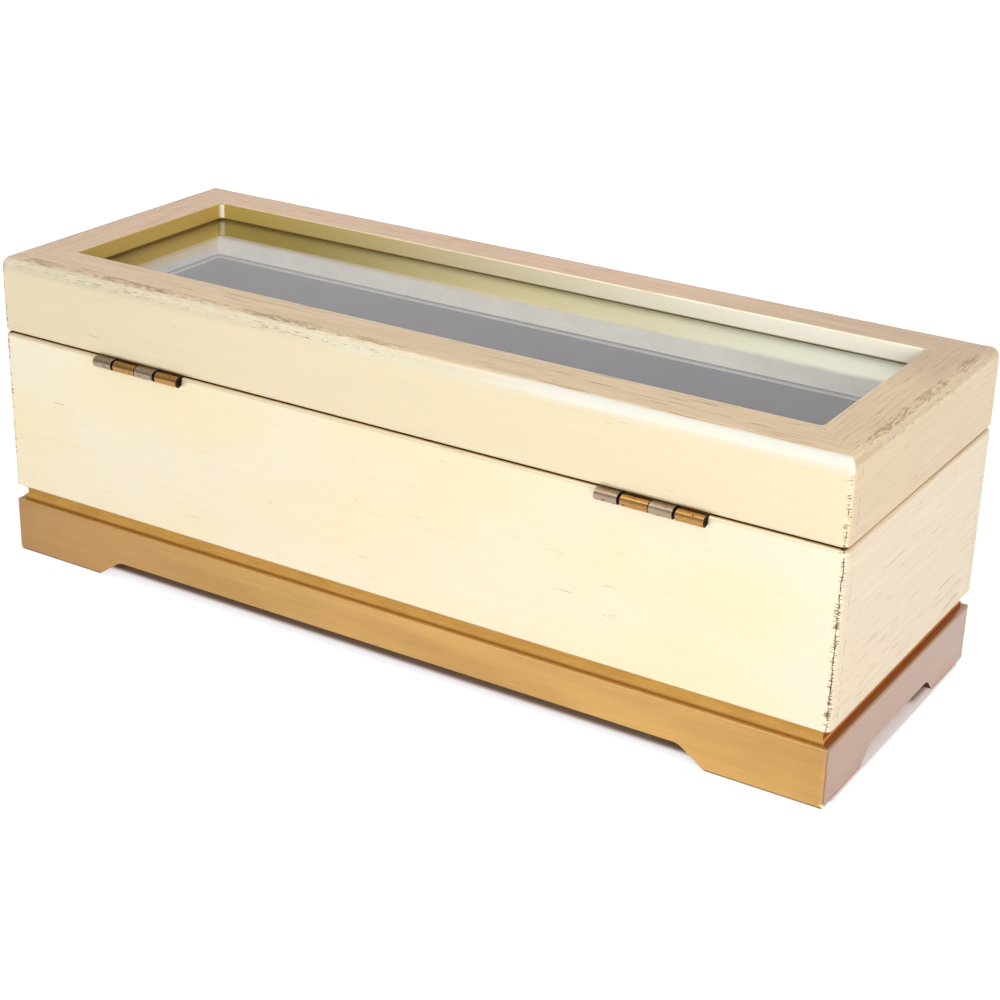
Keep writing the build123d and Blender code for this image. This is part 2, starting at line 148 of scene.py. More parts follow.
class Tree:
    """Builds the nodes of a material or world. An input that is a socket is linked, or else set."""

    def __init__(self, owner):
        self.owner = bpy.data.materials.new(owner) if isinstance(owner, str) else owner
        self.owner.use_nodes = True
        self.tree = self.owner.node_tree
        self.tree.nodes.clear()
        self.place = None

    def add(self, kind, inputs=None, **settings):
        node = self.tree.nodes.new("ShaderNode" + kind)
        for key, value in settings.items():
            setattr(node, key, value)
        for key, value in (inputs or {}).items():
            if isinstance(value, bpy.types.NodeSocket):
                self.tree.links.new(value, node.inputs[key])
            else:
                node.inputs[key].default_value = value
        return node

    def math(self, operation, *values, clamp=False):
        inputs = dict(enumerate(values))
        return self.add("Math", inputs, operation=operation, use_clamp=clamp).outputs[0]

    def step(self, value, low, high, bottom=0.0, top=1.0):
        """A smooth rise from bottom at low to top at high."""
        ends = {"From Min": low, "From Max": high, "To Min": bottom, "To Max": top}
        inputs = {"Value": value, **ends}
        return self.add("MapRange", inputs, interpolation_type="SMOOTHSTEP").outputs[0]

    def mix(self, share, first, second, blend="MIX"):
        node = self.add("Mix", data_type="RGBA", blend_type=blend)
        for place, value in ((0, share), (6, first), (7, second)):
            socket = node.inputs[place]
            if isinstance(value, bpy.types.NodeSocket):
                self.tree.links.new(value, socket)
            else:
                socket.default_value = value
        return node.outputs[2]

    def position(self):
        """The place on the object, in millimetres."""
        if self.place is None:
            source = self.add("TexCoord").outputs["Object"]
            inputs = {0: source, "Scale": MM}
            self.place = self.add("VectorMath", inputs, operation="SCALE").outputs[0]
        return self.place

    def axes(self):
        split = self.add("SeparateXYZ", {0: self.position()})
        return split.outputs[0], split.outputs[1], split.outputs[2]

    def facing(self, axis="Z"):
        """How far the surface faces along an axis, in the object's own frame."""
        normal = self.add("TexCoord").outputs["Normal"]
        return self.add("SeparateXYZ", {0: normal}).outputs["XYZ".index(axis)]

    def bell(self, value, middle, reach, core=0.0):
        """1 where value is within core of middle, falling to 0 at reach from it."""
        return self.step(self.math("ABSOLUTE", self.math("SUBTRACT", value, middle)), reach, core)

    def tint(self, colour, *tones):
        """A colour multiplied by grey tones."""
        tone = self.product(*tones)
        grey = self.add("CombineColor", {0: tone, 1: tone, 2: tone}).outputs[0]
        return self.mix(1.0, colour, grey, "MULTIPLY")

    def tone(self, value, reach):
        """A noise as a grey tone that wanders by reach round 1."""
        return self.step(value, *NOISE_SPAN, 1.0 - reach, 1.0 + reach)

    def grain(self, size, shift=(0.0, 0.0, 0.0), detail=3.0, roughness=0.55, distortion=0.0,
              at=None):
        """Noise whose features are about size, in millimetres, along X, Y and Z."""
        scale = tuple(1.0 / s for s in size)
        inputs = {"Vector": at or self.position(), "Scale": scale, "Location": shift}
        mapped = self.add("Mapping", inputs).outputs[0]
        inputs = {
            "Vector": mapped, "Scale": 1.0, "Detail": detail,
            "Roughness": roughness, "Distortion": distortion,
        }
        return self.add("TexNoise", inputs).outputs[0]

    def bump(self, height, distance, strength=1.0, under=None):
        """distance is in millimetres."""
        inputs = {"Height": height, "Distance": distance / MM, "Strength": strength}
        if under is not None:
            inputs["Normal"] = under
        return self.add("Bump", inputs).outputs[0]

    def most(self, *values):
        """The largest of several values."""
        largest = values[0]
        for value in values[1:]:
            largest = self.math("MAXIMUM", largest, value)
        return largest

    def product(self, *values):
        result = values[0]
        for value in values[1:]:
            result = self.math("MULTIPLY", result, value)
        return result

    def finish(self, shader, output="OutputMaterial"):
        self.tree.links.new(shader, self.add(output).inputs["Surface"])
        return self.owner

    def surface(self, inputs):
        return self.finish(self.add("BsdfPrincipled", inputs).outputs[0])


def along(axis, length, width):
    """A grain size that runs along one axis."""
    return tuple(length if name == axis else width for name in "XYZ")


# ---------------------------------------------------------------- leafed paint

# Lengths are in millimetres. A pair is where something starts and where it is full, and a four
# adds how much of it there is at each end. An EDGE is such a pair for a noise's own value: it
# says how much of the noise shows, and how sharply. Round a lid rail's top arris, roll is 4 where
# the top starts, 0 in the middle and -4 where the side starts. Round an upright corner, around is
# 0 in the middle and grows along the long face.

BLOCK = 300.0                       # a grain size too long to change along that axis
TOP_FACING = (0.45, 0.98)           # from a rail's round to its flat top
STREAK_GRAIN = (55.0, 1.5)          # lengths and widths
FINE_GRAIN = (26.0, 0.5)
HAIR_GRAIN = (17.0, 0.55)
FLECK_GRAIN = (3.6, 0.26)
STREAK_TONE, FINE_TONE = 0.34, 0.4  # how much they change the colour's tone on the lid's top
SIDE_DEPTH = {"X": 0.16, "Y": 0.5}  # the share of that on the long and the end faces
HAIR_LIMIT, HAIR_GAIN, HAIR_EDGE = 0.73, -0.14, 0.04
HAIR_SHARE = {"X": 0.7, "Y": 0.5}
LOW_END, LOW_END_HAIRS = (30.0, 12.0), 0.05      # above the walls' foot: more on an end face
LEAF_METALLIC = 0.35
LEAF_ROUGHNESS = (0.37, 0.33)
BARE_ROUGHNESS = 0.25
LEAF_RELIEF = 0.04

TOP_SLANT = 3.0                     # painted light: the top warms towards the back, a third as fast towards -X
TOP_WARMING = (-160.0, 120.0)
DUSK_Y, DUSK_X = (0.0, -30.0), (-40.0, -120.0, 0.0, 0.5)    # painted shade: the front rail's -X half is duskier
LID_DIM = 0.93                      # painted shade on a long rail's side, at its +X end

OPENING_FADE = (-110.0, 130.0)      # pale to olive along the opening's long walls: painted light and shade
WALL_START = (0.15, 0.05)           # the wall paint starts this far out from the sight edge
LIP_SHADOW, LIP_SHADOW_SHARE = (0.4, 0.1), 0.75      # above the lip's foot
GLINT_REACH, GLINT_DEPTH = (1.5, 0.9), (0.3, 0.8)    # of a painted highlight: the pale upright line in one corner
SIGHT_BAND, SIGHT_DEPTH = (0.2, 0.55, 0.25), (0.6, 0.3)     # a painted highlight along the sight edge
SIGHT_SHARE = (-60.0, 60.0, 0.05, 0.75)              # along y - x: more at the back

FLECK_PATCH = 18.0
TOP_BAND, SIDE_BAND = (2.6, 3.2, 0.8), (-2.2, 3.0, 0.3)     # of brown flecks: roll, reach, core
SIDE_BAND_SHARE = 0.7
FLECK_GAIN = {"X": 0.33, "Y": 0.34}
FLECK_EDGE, FLECK_SHARE = (0.77, 0.85), 0.62
# Pale flecks: worn leaf, and painted glints.
PALE_BAND, PALE_GAIN, PALE_EDGE = (0.0, 4.6, 1.5), 0.26, (0.66, 0.8)
PALE_SHARE = {"X": 0.6, "Y": 0.25}
LONG_WEAR = (-60.0, 20.0, 0.1, 1.0)      # how much the flecks show along a long rail's X
END_WEAR = (0.0, 70.0, 30.0)             # and along an end rail's Y: middle, reach, core

HIGHLIGHT_BAND = (-0.7, 3.4, 1.7)    # a painted white highlight on the back rail's round: roll, reach, core
HIGHLIGHT_START = (-18.0, -62.0)
HIGHLIGHT_RAG = 2.4
LOWER_LIGHT_BAND = (-2.2, 3.4, 1.4)        # painted light: that round's lower half is paler and has no metal
LOWER_LIGHT_PALE = (40.0, 5.0, 0.08, 0.45)

SEAM_DARK_HEIGHT, SEAM_DARK_DEPTH = (0.3, 0.25), (3.0, 2.2)     # painted shade and stain: round the seam, and in from the faces

ARRIS_PLACE = 0.9                   # of the dark line, from the corner's middle onto the long face
ARRIS_WANDER = 2.0
CORNER_REACH, CORNER_FADE = 6.0, 2.0     # how far the corner wear runs in over the lid's top
ROUND_CLEAR = (1.5, 4.5)            # below the lid's top, where the corner wear starts
WEIGHT_EDGE = (0.34, 0.62)          # how much of a corner's height is heavily worn
SPECK_GRAIN = (0.45, 1.3)           # across the corner and up it, as the next two grains
SPECK_REACH, SPECK_GAIN, SPECK_EDGE = 0.62, (0.22, 0.36), (0.76, 0.83)
WHISKER_GRAIN = (2.2, 0.34)
WHISKER_REACH, WHISKER_GAIN, WHISKER_EDGE = 3.2, (0.24, 0.36), (0.84, 0.9)
WHISKER_FADE = (0.2, -0.8, 0.9, 0.5)     # fainter on the end face
SPECKS_ON_LID, WHISKERS_ON_LID = 0.8, 0.96
SECOND_PLACE, SECOND_REACH = -4.6, 1.1   # a fainter dotted line, on the end face
DOT_GRAIN, DOT_GAIN, DOT_EDGE, DOT_SHARE = (0.8, 1.2), 0.22, (0.74, 0.8), 0.6


def corner_wear(t, around, to_corner, z, on_lid):
    """Dark where the leaf is rubbed through at an upright corner: a ragged line and whiskers."""
    place = t.add("CombineXYZ", {0: around, 1: z, 2: t.axes()[0]}).outputs[0]
    wobble = t.grain((BLOCK, 5.0, BLOCK), (1.2, 0.0, 7.1), detail=4.0, roughness=0.6, at=place)
    weight = t.grain((BLOCK, 9.0, BLOCK), (8.2, 3.0, 2.1), detail=4.0, roughness=0.7, at=place)
    weight = t.step(weight, *WEIGHT_EDGE)
    middle = t.math("MULTIPLY_ADD", wobble, ARRIS_WANDER, ARRIS_PLACE - ARRIS_WANDER / 2)
    specks = t.grain((*SPECK_GRAIN, BLOCK), (2.0, 0.0, 5.0), detail=4.0, roughness=0.7, at=place)
    near = t.step(t.math("ABSOLUTE", t.math("SUBTRACT", around, middle)), SPECK_REACH, 0.0)
    gain = t.step(weight, 0.0, 1.0, *SPECK_GAIN)
    share = t.product(near, gain, t.step(on_lid, 0.0, 1.0, 1.0, SPECKS_ON_LID))
    line = t.step(t.math("ADD", specks, share), *SPECK_EDGE)

    field = t.grain((*WHISKER_GRAIN, BLOCK), (4.0, 0.0, 5.0), detail=2.0, at=place)
    near = t.bell(around, ARRIS_PLACE, WHISKER_REACH)
    gain = t.step(weight, 0.0, 1.0, *WHISKER_GAIN)
    share = t.product(near, gain, t.step(on_lid, 0.0, 1.0, 1.0, WHISKERS_ON_LID))
    whiskers = t.step(t.math("ADD", field, share), *WHISKER_EDGE)
    whiskers = t.product(whiskers, t.step(around, *WHISKER_FADE))
    dots = t.grain((*DOT_GRAIN, BLOCK), (6.0, 2.0, 3.0), detail=3.0, at=place)
    wandering = t.math("MULTIPLY_ADD", wobble, ARRIS_WANDER, around)
    second = t.bell(wandering, SECOND_PLACE + ARRIS_WANDER / 2, SECOND_REACH)
    dots = t.step(t.math("MULTIPLY_ADD", second, DOT_GAIN, dots), *DOT_EDGE, 0.0, DOT_SHARE)
    whiskers = t.most(whiskers, dots)
    below_round = t.step(z, lid_top - ROUND_CLEAR[0], lid_top - ROUND_CLEAR[1])
    at_corner = t.product(t.step(to_corner, CORNER_REACH, CORNER_REACH - CORNER_FADE), below_round)
    return t.product(line, at_corner), t.product(whiskers, at_corner)


def top_wear(t, axis, roll, along_rail):
    """Brown flecks where a lid rail's top arris is rubbed; pale ones round them, wear and painted
    glints.
    """
    flecks = t.grain(along(axis, *FLECK_GRAIN), (5.5, 3.3, 9.9), detail=2.0, roughness=0.6)
    pale_flecks = t.grain(along(axis, *FLECK_GRAIN), (1.5, 8.3, 4.9), detail=2.0)
    patches = t.grain((FLECK_PATCH,) * 3, (6.3, 1.9, 2.2), detail=3.0)
    high = t.bell(roll, *TOP_BAND)
    low = t.math("MULTIPLY", t.bell(roll, *SIDE_BAND), SIDE_BAND_SHARE)
    share = t.product(t.most(high, low), along_rail, t.step(patches, 0.36, 0.56, 0.6, 1.0))
    brown = t.step(t.math("MULTIPLY_ADD", share, FLECK_GAIN[axis], flecks), *FLECK_EDGE)
    share = t.product(t.bell(roll, *PALE_BAND), along_rail)
    pale = t.step(t.math("MULTIPLY_ADD", share, PALE_GAIN, pale_flecks), *PALE_EDGE)
    return brown, pale


def opening_leaf(t, axis, x, y, to_edge, below_top, colour, fine):
    """The opening's leaf: gold to pale in painted light, and painted glints; and where it is."""
    lip = lid_top - lip_foot
    in_opening = t.math(
        "MULTIPLY",
        t.step(to_edge, *(RAIL_WIDTH - before for before in WALL_START)),
        t.step(below_top, lip + 0.5, lip + 0.1),
    )
    # The long walls go olive to pale along X: painted light and shade.
    inner = LEAF_GOLD if axis == "Y" else t.mix(t.step(x, *OPENING_FADE), LEAF_PALE, LEAF_OLIVE)
    colour = t.mix(in_opening, colour, inner)
    # A painted highlight: a pale upright line in the opening's corner at +X, -Y.
    from_corner = t.most(
        t.math("ABSOLUTE", t.math("SUBTRACT", x, half_length - RAIL_WIDTH)),
        t.math("ABSOLUTE", t.math("ADD", y, half_width - RAIL_WIDTH)),
    )
    glint = t.product(t.step(from_corner, *GLINT_REACH), t.step(below_top, *GLINT_DEPTH))
    colour = t.mix(glint, colour, PALE_WEAR_AND_HIGHLIGHT)
    # A painted highlight along the sight edge, more towards the back.
    before, *spread = SIGHT_BAND
    sight = t.bell(to_edge, RAIL_WIDTH - before, *spread)
    sight = t.product(sight, t.step(below_top, *SIGHT_DEPTH))
    near_side = t.step(t.math("SUBTRACT", y, x), *SIGHT_SHARE)
    lip_line = t.step(below_top, *(lip - above for above in LIP_SHADOW))
    colour = t.mix(t.product(lip_line, in_opening, LIP_SHADOW_SHARE), colour, TAPE_AND_SHADE_BROWN)
    pale_zone = t.product(sight, near_side, t.step(fine, 0.35, 0.55, 0.4, 0.9))
    return t.mix(pale_zone, colour, PALE_WEAR_AND_HIGHLIGHT), in_opening


def leaf_paint(name, axis):
    """Champagne leaf, clean on the faces and rubbed through to brown at the arrises."""
    t = Tree(name)
    x, y, z = t.axes()
    from_end = t.math("SUBTRACT", half_length, t.math("ABSOLUTE", x))
    from_side = t.math("SUBTRACT", half_width, t.math("ABSOLUTE", y))
    around = t.math("SUBTRACT", from_end, from_side)
    to_edge = t.math("MINIMUM", from_end, from_side)
    below_top = t.math("SUBTRACT", lid_top, z)
    on_lid = t.step(z, seam - 0.01, seam + 0.01)
    on_top = t.step(t.facing(), *TOP_FACING)

    streaks = t.grain(along(axis, *STREAK_GRAIN), (3.1, 7.7, 1.3), detail=3.0)
    fine = t.grain(along(axis, *FINE_GRAIN), (9.2, 2.4, 5.8), detail=3.0)
    clouds = t.grain((60.0, 60.0, 34.0), (1.7, 4.4, 8.6), detail=2.0)
    hairs = t.grain(along(axis, *HAIR_GRAIN), (2.2, 6.1, 3.7), detail=2.0)

    # Each face gets its own tone of the one leaf: painted light and shade.
    if axis == "X":
        side = t.mix(t.step(clouds, 0.35, 0.65), CHAMPAGNE_SIDE, CHAMPAGNE_WARM)
        lid_side = t.tint(CHAMPAGNE_LID, t.step(x, 0.0, half_length, 1.0, LID_DIM))
        colour = t.mix(on_lid, side, lid_side)
    else:
        colour = t.mix(on_lid, CHAMPAGNE_END, CHAMPAGNE_LID_END)
    # Painted light on the top: lighter towards the back and -X.
    across_top = t.math("SUBTRACT", t.math("MULTIPLY", y, TOP_SLANT), x)
    top = t.mix(t.step(across_top, *TOP_WARMING), CHAMPAGNE_TOP, CHAMPAGNE_TOP_WARM)
    # Painted shade on the front rail's -X half of the top.
    top = t.mix(t.product(t.step(y, *DUSK_Y), t.step(x, *DUSK_X)), top, CHAMPAGNE_DUSK)
    colour = t.mix(on_top, colour, top)
    depth = t.step(on_top, 0.0, 1.0, SIDE_DEPTH[axis], 1.0)
    streak_tone = t.product(t.math("SUBTRACT", streaks, 0.5), depth, STREAK_TONE)
    fine_tone = t.product(t.math("SUBTRACT", fine, 0.5), depth, FINE_TONE)
    colour = t.tint(colour, t.math("ADD", 1.0, t.math("ADD", streak_tone, fine_tone)))
    streaked = t.product(t.step(streaks, 0.35, 0.6), depth)
    hair_limit = t.math("MULTIPLY_ADD", streaked, HAIR_GAIN, HAIR_LIMIT)
    low_end = t.step(z, body_foot + LOW_END[0], body_foot + LOW_END[1])
    low_end = t.product(low_end, LOW_END_HAIRS if axis == "Y" else 0.0)
    hair_limit = t.math("SUBTRACT", hair_limit, low_end)
    hair = t.step(t.math("SUBTRACT", hairs, hair_limit), 0.0, HAIR_EDGE, 0.0, HAIR_SHARE[axis])
    colour = t.mix(hair, colour, STREAK_BROWN)
    colour, in_opening = opening_leaf(t, axis, x, y, to_edge, below_top, colour, fine)

    roll = t.math("SUBTRACT", to_edge, below_top)
    if axis == "X":
        along_rail = t.step(x, *LONG_WEAR)
        # A painted highlight: the back rail's round is white towards -X, ragged at its top.
        level = t.math("SUBTRACT", roll, HIGHLIGHT_RAG / 2)
        ragged = t.math("MULTIPLY_ADD", fine, HIGHLIGHT_RAG, level)
        at_back = t.product(t.step(x, *HIGHLIGHT_START), t.step(y, 0.0, 1.0), on_lid)
        band = t.product(t.bell(ragged, *HIGHLIGHT_BAND), at_back)
        colour = t.mix(band, colour, ROUND_HIGHLIGHT)
        # Painted light on the back round's lower half: paler towards -X, and without metal.
        lower_light = t.product(t.bell(roll, *LOWER_LIGHT_BAND), t.step(y, 0.0, 1.0), on_lid)
        colour = t.mix(t.product(lower_light, t.step(x, *LOWER_LIGHT_PALE)), colour, PALE_WEAR_AND_HIGHLIGHT)
    else:
        along_rail = t.bell(y, *END_WEAR)
        band = lower_light = 0.0
    brown, pale = top_wear(t, axis, roll, along_rail)
    colour = t.mix(t.math("MULTIPLY", pale, PALE_SHARE[axis]), colour, PALE_WEAR_AND_HIGHLIGHT)
    colour = t.mix(t.math("MULTIPLY", brown, FLECK_SHARE), colour, FLECK_BROWN)
    to_corner = t.math("MAXIMUM", from_end, from_side)
    line, whiskers = corner_wear(t, around, to_corner, z, on_lid)
    colour = t.mix(whiskers, colour, WHISKER_BROWN)
    colour = t.mix(line, colour, UNDERCOAT)
    # Painted shade in the seam's gap, with the bare edges' stain.
    seam_dark = t.step(t.math("ABSOLUTE", t.math("SUBTRACT", z, seam)), *SEAM_DARK_HEIGHT)
    seam_dark = t.product(seam_dark, t.step(to_edge, *SEAM_DARK_DEPTH))
    colour = t.mix(seam_dark, colour, SEAM_STAIN_AND_SHADE)

    bare = t.most(line, seam_dark)
    relief = t.math("ADD", t.math("MULTIPLY", streaks, 0.2), t.math("MULTIPLY", fine, 0.25))
    relief = t.math("SUBTRACT", relief, t.math("MULTIPLY", bare, 0.6))
    relief = t.math("SUBTRACT", relief, t.math("MULTIPLY", t.most(whiskers, brown), 0.12))
    rough = t.step(fine, *NOISE_SPAN, *LEAF_ROUGHNESS)
    return t.surface({
        "Base Color": colour,
        "Metallic": t.step(t.most(bare, band, lower_light, in_opening), 0.0, 1.0, LEAF_METALLIC, 0.0),
        "Roughness": t.math("ADD", rough, t.math("MULTIPLY", bare, BARE_ROUGHNESS)),
        "Normal": t.bump(relief, LEAF_RELIEF),
    })


# ---------------------------------------------------------------- ochre paint

LIP_HEIGHT = 1.3                    # the square lip at the foot of the neck
LEDGE_OUTER, LEDGE_INNER = 0.9, 1.9      # the plinth's top is seen between them, before the lip
OCHRE_STREAKS, OCHRE_FINE, OCHRE_CLOUDS = (70.0, 2.2), (14.0, 0.5), (60.0, 12.0)
OCHRE_TONE = {"X": 0.03, "Y": 0.012}
BROWNER_FROM, BROWNER_SHARE = -15.0, 0.48    # painted shade: the ochre turns browner towards +X
CORNER_DIM = (12.0, 2.0, 1.0, 0.92)
# A painted highlight along the plinth's top arris:
PLINTH_ARRIS, ARRIS_DEPTH = (0.5, 0.2), (0.7, 0.35)
ARRIS_SHARE = {"X": 0.5, "Y": 0.25}
# Painted shade in the quirk behind the plinth's top arris:
QUIRK_DROP, QUIRK_SHARE = (0.4, 0.1), 0.8
FOOT_LINE = (1.0, 0.45, 0.0, 0.75)
# Pale spots at the upright corners' feet: chips of bare wood, and a painted highlight.
CHIP_GLINT_SIZE, CHIP_GLINT_EDGE = 1.3, (0.46, 0.5)
CHIP_GLINT_CORNER, CHIP_GLINT_HEIGHT = (1.6, 0.4), (2.2, 0.6)
OCHRE_ROUGHNESS = (0.42, 0.36)
OCHRE_COAT = {"X": 0.35, "Y": 0.72}
LIP_ARRIS_SHARES, NECK_QUIRK_SHARES = (0.4, 0.12), (0.8, 0.2)    # of painted highlight and shade: on the long sides, on the ends


def ochre_paint(name, axis):
    """Smooth satin ochre; painted shade in the quirk behind the plinth's top arris, a painted
    highlight on it.
    """
    t = Tree(name)
    x, y, z = t.axes()
    from_end = t.math("SUBTRACT", plinth_x, t.math("ABSOLUTE", x))
    from_side = t.math("SUBTRACT", plinth_y, t.math("ABSOLUTE", y))
    to_edge = t.math("MINIMUM", from_end, from_side)
    to_corner = t.math("MAXIMUM", from_end, from_side)
    streaks = t.grain(along(axis, *OCHRE_STREAKS), (2.7, 8.1, 4.6), detail=4.0)
    fine = t.grain(along(axis, *OCHRE_FINE), (7.1, 0.4, 3.6), detail=2.0)
    clouds = t.grain(along(axis, *OCHRE_CLOUDS), (0.9, 5.2, 6.4), detail=2.0)
    # The end faces take a darker ochre: painted shade.
    colour = OCHRE_END if axis == "Y" else t.mix(t.step(clouds, *NOISE_SPAN), OCHRE_DEEP, OCHRE)
    tones = [t.tone(value, OCHRE_TONE[axis]) for value in (streaks, fine, clouds)]
    # Painted shade towards +X.
    colour = t.mix(t.step(x, BROWNER_FROM, plinth_x, 0.0, BROWNER_SHARE), colour, SHADE_BROWN)
    colour = t.tint(colour, t.step(to_corner, *CORNER_DIM), *tones)
    # A painted highlight on the plinth's top arris.
    arris = t.product(t.bell(z, plinth_top, *PLINTH_ARRIS), t.step(to_edge, *ARRIS_DEPTH))
    colour = t.mix(t.math("MULTIPLY", arris, ARRIS_SHARE[axis]), colour, ARRIS_HIGHLIGHT)
    # Painted shade in the quirk.
    quirk = t.step(z, *(plinth_top - drop for drop in QUIRK_DROP))
    quirk = t.product(t.step(to_edge, LEDGE_OUTER, LEDGE_INNER), quirk)
    colour = t.mix(t.math("MULTIPLY", quirk, QUIRK_SHARE), colour, SHADE_BROWN)
    colour = t.mix(t.step(z, *FOOT_LINE), colour, FOOT_BROWN)
    # Pale chips and a painted highlight at the corners' feet.
    chip_glints = t.grain((CHIP_GLINT_SIZE,) * 3, (4.0, 2.0, 6.5), detail=1.0)
    pale_zone = t.math("MULTIPLY", t.step(to_corner, *CHIP_GLINT_CORNER), t.step(z, *CHIP_GLINT_HEIGHT))
    chip_glint = t.math("MULTIPLY", t.step(chip_glints, *CHIP_GLINT_EDGE), t.step(pale_zone, 0.3, 0.5))
    colour = t.mix(chip_glint, colour, LIMEWOOD_GLINT)
    inside = t.step(to_edge, plinth_depth - 0.6, plinth_depth - 0.3)
    colour = t.mix(inside, colour, BARE_WOOD)
    relief = t.math("ADD", t.math("MULTIPLY", streaks, 0.3), t.math("MULTIPLY", fine, 0.2))
    return t.surface({
        "Base Color": colour,
        "Metallic": t.step(inside, 0.0, 1.0, 0.15, 0.0),
        "Roughness": t.step(streaks, *NOISE_SPAN, *OCHRE_ROUGHNESS),
        "Normal": t.bump(relief, 0.015),
        "Coat Weight": OCHRE_COAT[axis],
        "Coat Roughness": 0.22,
        "Coat IOR": 1.6,
    })


def arch_shade_paint():
    """The arches' inner faces in dark brown: painted shade."""
    t = Tree("arch_painted_shade")
    brushed = t.grain((9.0, 9.0, 1.2), (4.4, 1.8, 0.7), detail=3.0)
    colour = t.tint(ARCH_SHADE_BROWN, t.step(brushed, *NOISE_SPAN, 0.88, 1.1))
    return t.surface({
        "Base Color": colour,
        "Roughness": 0.8,
        "Specular IOR Level": 0.15,
        "Normal": t.bump(brushed, 0.03),
    })


def neck_paint():
    """The base board's edge: ochre along the long sides; painted shade, russet on the ends and
    brown in the quirk.
    """
    t = Tree("neck_ochre")
    z = t.axes()[2]
    fine = t.grain((14.0, 14.0, 0.3), (3.1, 0.4, 1.6), detail=3.0)
    patches = t.grain((18.0, 18.0, 4.0), (5.1, 2.4, 1.9), detail=2.0)
    colour = t.mix(t.step(patches, 0.35, 0.65), OCHRE, OCHRE_DEEP)
    # Painted shade and reflected colour: the ends are russet.
    on_end = t.step(t.math("ABSOLUTE", t.facing("X")), 0.4, 0.8)
    colour = t.mix(on_end, colour, NECK_RUSSET)
    colour = t.tint(colour, t.step(fine, *NOISE_SPAN, 0.94, 1.04))
    # A painted highlight on the lip's arris.
    lip_highlight = t.bell(z, plinth_top + LIP_HEIGHT, 0.35, 0.1)
    lip_highlight = t.product(lip_highlight, t.step(on_end, 0.0, 1.0, *LIP_ARRIS_SHARES))
    colour = t.mix(lip_highlight, colour, ARRIS_HIGHLIGHT)
    # Painted shade in the quirk.
    quirk = t.step(z, plinth_top + 0.9, plinth_top + 0.1)
    quirk = t.product(quirk, t.step(on_end, 0.0, 1.0, *NECK_QUIRK_SHARES))
    colour = t.mix(quirk, colour, SHADE_BROWN)
    return t.surface({
        "Base Color": colour,
        "Roughness": 0.55,
        "Specular IOR Level": 0.15,
        "Normal": t.bump(fine, 0.03),
    })


def bare_wood():
    t = Tree("bare_wood")
    rings = t.grain(along("X", 80.0, 2.2), (1.0, 2.0, 3.0), detail=5.0, distortion=0.4)
    pores = t.grain(along("X", 9.0, 0.25), (4.0, 5.0, 6.0), detail=2.0)
    colour = t.mix(t.step(rings, *NOISE_SPAN), BARE_WOOD, BARE_WOOD_DARK)
    colour = t.mix(t.step(pores, 0.62, 0.7, 0.0, 0.6), colour, WOOD_PORE)
    return t.surface({"Base Color": colour, "Roughness": 0.75, "Normal": t.bump(pores, 0.05)})


# ---------------------------------------------------------------- linings

BAND_FOOT = {"long": 86.4, "end": 82.8}      # height where the lid liners' leafed band starts
BAND_RAG, BAND_BLUR = 1.2, 0.9
BAND_OLIVE_SPAN, BAND_PALE_SPAN = (120.0, 0.0), (10.0, -110.0)     # olive, leaf, pale along X: painted light and shade
LINER_DIM = (-45.0, -120.0, 1.0, 0.72)
# The second pair is a painted shade along a lid liner's foot.
HEM_DROP, LINER_LOWER_SHADE = (0.65, 0.4), (0.55, 0.3)


def suede(name, colour, nap, edge=None):
    """Short-napped lining cloth. Its tone wanders by nap, and edge(tree, colour) paints its hem."""
    t = Tree(name)
    brushed = t.grain((14.0, 14.0, 9.0), (2.0, 9.0, 4.0), detail=3.0, distortion=0.6)
    fibre = t.grain((0.35, 0.35, 0.35), (7.0, 1.0, 3.0), detail=3.0, roughness=0.7)
    colour = t.tint(colour, t.tone(brushed, nap), t.step(fibre, 0.25, 0.75, 0.86, 1.12))
    return t.surface({
        "Base Color": edge(t, colour) if edge else colour,
        "Roughness": 0.95,
        "Specular IOR Level": 0.2,
        "Sheen Weight": 0.35,
        "Sheen Roughness": 0.4,
        "Normal": t.bump(fibre, 0.08),
    })


def pale_hem_highlight(t, colour):
    """The case liner's cut top edge: the board's pale edge, with a painted highlight on it."""
    level = t.step(t.axes()[2], *(liner_top - drop for drop in HEM_DROP))
    return t.mix(level, colour, LINER_EDGE)


def leafed_band(foot, on_end):
    """Paints a lid liner: leaf above the given height, and painted shade along its own foot."""
    def edge(t, colour):
        x, _, z = t.axes()
        colour = t.tint(colour, t.step(x, *LINER_DIM))
        ragged = t.grain((9.0, 9.0, 3.0), (3.0, 5.0, 2.0), detail=2.0)
        level = t.math("MULTIPLY_ADD", ragged, BAND_RAG, t.math("SUBTRACT", z, BAND_RAG / 2))
        if on_end:
            leaf = LEAF_GOLD
        # Olive to pale along X: painted light and shade, as on the opening's walls.
        else:
            leaf = t.mix(t.step(x, *BAND_OLIVE_SPAN), BAND_OLIVE, BAND_LEAF)
            leaf = t.mix(t.step(x, *BAND_PALE_SPAN), leaf, BAND_PALE)
        colour = t.mix(t.step(level, foot - BAND_BLUR, foot + BAND_BLUR), colour, leaf)
        lower_edge_shade = t.step(z, *(liner_foot + above for above in LINER_LOWER_SHADE))
        return t.mix(lower_edge_shade, colour, LINER_SHADE)
    return edge


# ---------------------------------------------------------------- glass and small parts

GLASS_TINT, DUST = shade(248, 252, 250), shade(225, 222, 216)
DUST_CELLS = 0.09                   # per millimetre; each may hold one speck
DUST_SIZE, DUST_LIMIT = (0.02, 0.012), 0.6
PATINA_EDGE, PATINA_GAIN = (0.66, 0.8), 0.4
PATINA_METALLIC, PATINA_ROUGHENS = 0.7, 0.3


